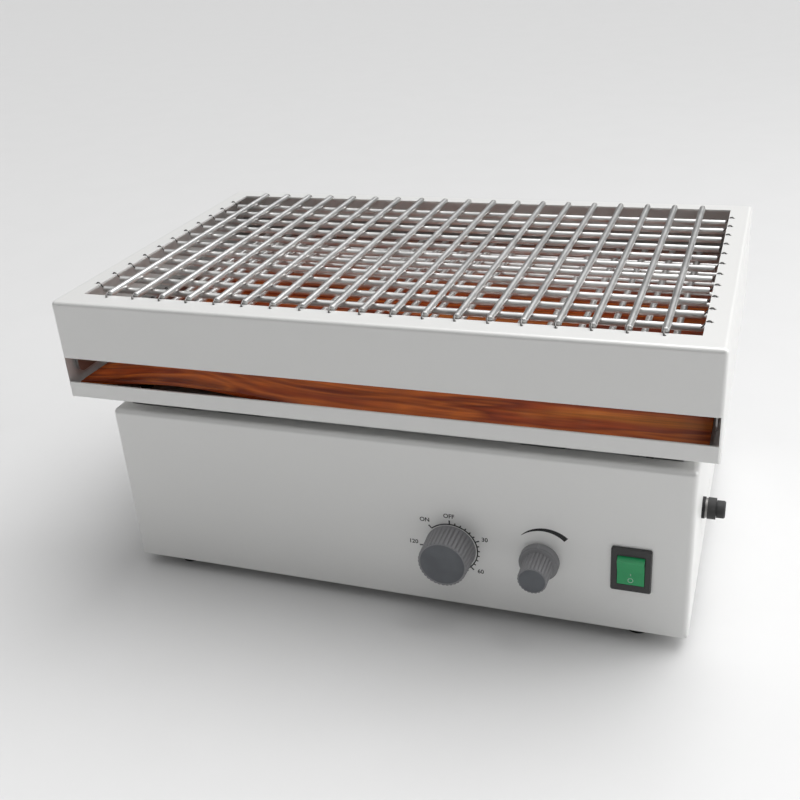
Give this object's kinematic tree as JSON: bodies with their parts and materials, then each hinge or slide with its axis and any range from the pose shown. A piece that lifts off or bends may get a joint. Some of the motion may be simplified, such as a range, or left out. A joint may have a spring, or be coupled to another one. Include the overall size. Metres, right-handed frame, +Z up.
{
  "type": "reciprocating laboratory shaker",
  "caption": "Bench-top reciprocating shaker: a deck with grids of tension springs slides on rods over a boxed base with a timer knob, a speed knob, a rocker switch and a fuse holder.",
  "frame": {"origin": "on the table, under the middle of the machine's box with the deck at the left end of its stroke", "axes": "+X to the right of a person facing the knobs and along the deck's stroke, +Y to the back, +Z up"},
  "size_m": [0.4636, 0.3128, 0.2228],
  "materials": {
    "deck_paint": "fine-textured light grey-white powder coat",
    "base_paint": "fine-textured light grey-white powder coat",
    "wood_board": "glossy reddish-brown wood grain",
    "pad_rubber": "soft black pads",
    "galvanised": "zinc-plated sheet",
    "spring_steel": "bright nickel-plated close-wound springs",
    "aluminium": "milled aluminium",
    "ground_steel": "ground steel",
    "zinc_screw": "bright zinc-plated",
    "foot_rubber": "black rubber",
    "cast_pulley": "turned cast aluminium",
    "motor_paint": "dark grey paint",
    "belt_rubber": "black rubber belt",
    "circuit_board": "green circuit board",
    "dark_plastic": "black moulded plastic",
    "knob_grey": "matt dark grey plastic",
    "pointer_white": "pale line",
    "switch_black": "glossy black plastic",
    "rocker_green": "translucent green plastic",
    "brass": "plated brass",
    "fuse_glass": "clear glass with metal ends"
  },
  "bodies": {
    "base": {"base_cover": "base_paint", "board_capacitors": "dark_plastic", "board_heatsink": "aluminium", "board_standoffs": "zinc_screw", "board_transformer": "dark_plastic", "bottom_plate": "galvanised", "control_board": "circuit_board", "cover_screws": "zinc_screw", "crank_bearings": "ground_steel", "crank_pedestal": "cast_pulley", "drive_belt": "belt_rubber", "drive_screws": "zinc_screw", "foot_screws": "zinc_screw", "fuse_holder": "dark_plastic", "fuse_seal": "dark_plastic", "fuse_washer": "zinc_screw", "guide_rods": "ground_steel", "hex_nuts": "zinc_screw", "inlet_pins": "brass", "inlet_screws": "zinc_screw", "motor_bracket": "galvanised", "motor_housing": "motor_paint", "power_inlet": "dark_plastic", "rod_supports": "aluminium", "rubber_feet": "foot_rubber", "speed_pot": "dark_plastic", "switch_case": "switch_black", "switch_contacts": "brass", "timer_body": "dark_plastic"},
    "deck": {"deck_hood": "deck_paint", "deck_tray": "deck_paint", "tray_board": "wood_board", "board_pads": "pad_rubber", "lower_spring_frame": "galvanised", "frame_spacers": "galvanised", "upper_long_springs": "spring_steel", "upper_cross_springs": "spring_steel", "lower_long_springs": "spring_steel", "lower_cross_springs": "spring_steel", "bearing_blocks": "aluminium", "linear_bushes": "ground_steel", "yoke_channel": "aluminium", "deck_screws": "zinc_screw"},
    "crank": {"crank_shaft": "ground_steel", "crank_pulley": "cast_pulley", "crank_pin": "ground_steel", "pin_sleeve": "ground_steel", "crank_roller": "ground_steel", "pin_clip": "ground_steel"},
    "rotor": {"motor_shaft": "ground_steel", "motor_pulley": "cast_pulley"},
    "timer": {"timer_knob": "knob_grey", "timer_shaft": "zinc_screw"},
    "speed": {"speed_knob": "knob_grey", "speed_shaft": "zinc_screw", "speed_pointer": "pointer_white"},
    "rocker": {"switch_rocker": "rocker_green"},
    "fuse": {"fuse_cap": "dark_plastic", "glass_fuse": "fuse_glass"}
  },
  "joints": [
    {"name": "deck_slide", "type": "slide", "parent": "base", "child": "deck", "axis": [1, 0, 0], "range_m": [0, 0.02]},
    {"name": "crank_turn", "type": "hinge", "parent": "base", "child": "crank", "pos_m": [0.008, 0.01, 0.093], "axis": [0, 0, 1], "range_deg": [0, 180]},
    {"name": "motor_turn", "type": "hinge", "parent": "base", "child": "rotor", "pos_m": [-0.097, 0.01, 0.093], "axis": [0, 0, 1], "range_deg": [0, 540]},
    {"name": "timer_turn", "type": "hinge", "parent": "base", "child": "timer", "pos_m": [0.0557, -0.1326, 0.0558], "axis": [0, 1, 0], "range_deg": [-75, 238]},
    {"name": "speed_turn", "type": "hinge", "parent": "base", "child": "speed", "pos_m": [0.118, -0.1326, 0.056], "axis": [0, 1, 0], "range_deg": [-140, 140]},
    {"name": "rocker_tilt", "type": "hinge", "parent": "base", "child": "rocker", "pos_m": [0.1783, -0.1323, 0.0592], "axis": [-1, 0, 0], "range_deg": [0, 20]},
    {"name": "fuse_draw", "type": "slide", "parent": "base", "child": "fuse", "axis": [1, 0, 0], "range_m": [0, 0.035]}
  ],
  "couplings": [
    {"joint": "crank_turn", "follows": "deck_slide", "rad_per_m": 157.08},
    {"joint": "motor_turn", "follows": "deck_slide", "rad_per_m": 471.24}
  ]
}
